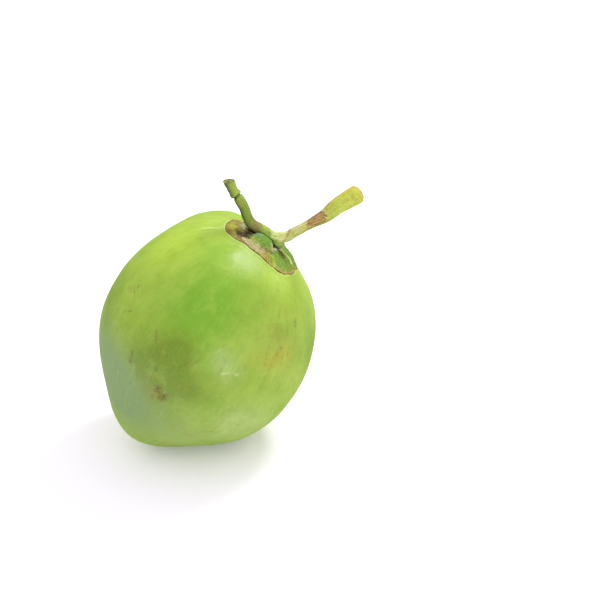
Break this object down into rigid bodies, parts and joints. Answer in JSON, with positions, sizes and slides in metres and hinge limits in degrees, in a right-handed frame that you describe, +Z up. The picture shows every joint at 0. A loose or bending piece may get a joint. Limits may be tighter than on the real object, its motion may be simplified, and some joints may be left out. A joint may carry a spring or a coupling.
{
  "type": "green coconut",
  "caption": "Whole young green coconut in its smooth husk, with the scaly cap and a forked piece of cut flower branch at the stem end, resting on a small flat spot.",
  "frame": {"origin": "centre of the nut projected onto the flat spot that it rests on", "axes": "+Z up from the surface it rests on; the stem end leans 31 degrees from upright towards +X, turned 5 degrees to +Y"},
  "size_m": [0.2088, 0.1692, 0.2189],
  "materials": {
    "husk_skin": "smooth waxy green skin, satin, mottled yellow-green with small tan scars",
    "dry_petal": "olive leathery scale with a dry papery brown margin",
    "green_sepal": "fresh green leathery scale with a thin tan edge",
    "branch_bark": "olive to yellow-green fibrous stalk with brown scars and cut ends"
  },
  "bodies": {
    "root": {"husk": "husk_skin", "petal_left": "dry_petal", "petal_front": "dry_petal", "petal_back": "dry_petal", "sepal_front": "green_sepal", "sepal_right": "green_sepal", "sepal_back": "green_sepal", "branch": "branch_bark"}
  },
  "joints": []
}
